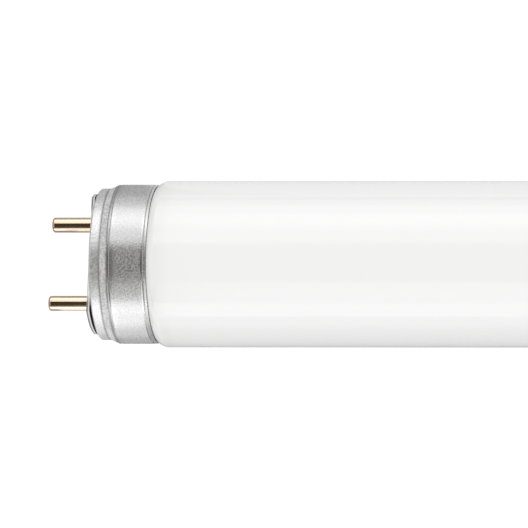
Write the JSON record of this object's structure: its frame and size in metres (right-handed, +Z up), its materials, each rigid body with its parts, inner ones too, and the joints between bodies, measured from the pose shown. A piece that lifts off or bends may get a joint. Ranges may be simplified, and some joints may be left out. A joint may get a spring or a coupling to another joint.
{
  "type": "fluorescent tube",
  "caption": "Straight fluorescent lamp: a white-coated glass tube with an aluminium cap and a pair of brass contact pins at each end.",
  "frame": {"origin": "middle of the lamp, on its axis", "axes": "+X along the lamp towards its right end, the two pins of each cap level along Y, +Z up"},
  "size_m": [0.604, 0.026, 0.026],
  "materials": {
    "coated_glass": "white coated, glossy",
    "shell_aluminium": "satin",
    "insulator": "matt",
    "backing_fibre": "matt",
    "pin_brass": "polished",
    "lead_wire": "drawn wire",
    "cement": "matt"
  },
  "bodies": {
    "root": {"glass_tube": "coated_glass", "left_cap_shell": "shell_aluminium", "left_insulator": "insulator", "left_backing_plate": "backing_fibre", "left_front_pin": "pin_brass", "left_rear_pin": "pin_brass", "left_front_lead": "lead_wire", "left_rear_lead": "lead_wire", "left_cement": "cement", "right_cap_shell": "shell_aluminium", "right_insulator": "insulator", "right_backing_plate": "backing_fibre", "right_front_pin": "pin_brass", "right_rear_pin": "pin_brass", "right_front_lead": "lead_wire", "right_rear_lead": "lead_wire", "right_cement": "cement"}
  },
  "joints": []
}
